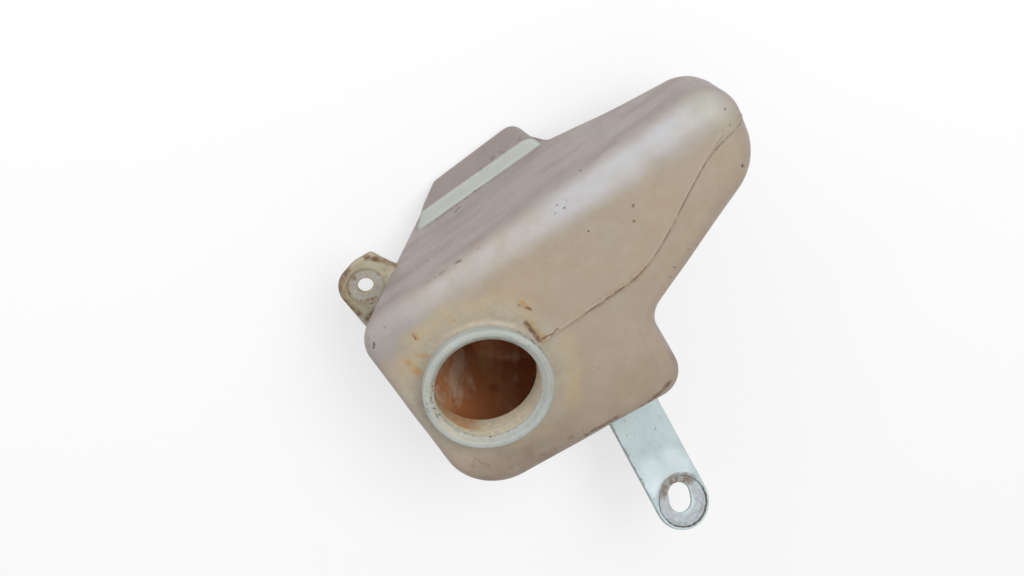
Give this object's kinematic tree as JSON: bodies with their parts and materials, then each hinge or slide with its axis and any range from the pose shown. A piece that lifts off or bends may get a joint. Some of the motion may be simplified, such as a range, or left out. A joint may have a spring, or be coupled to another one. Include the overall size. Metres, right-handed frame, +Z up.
{
  "type": "coolant expansion tank",
  "caption": "Blow-moulded plastic reservoir with an open filler neck, a long nose chamber, a stepped foot, a screw lug and a strap.",
  "frame": {"origin": "middle of the flat base that the tank stands on, in line with the filler neck", "axes": "+Z up, along the filler neck's axis; +X towards the nose; +Y towards the back wall with the foot"},
  "size_m": [0.1764, 0.1887, 0.0917],
  "materials": {
    "shell": "aged natural polyethylene, satin, yellowed and stained"
  },
  "bodies": {
    "root": {"tank": "shell"}
  },
  "joints": []
}
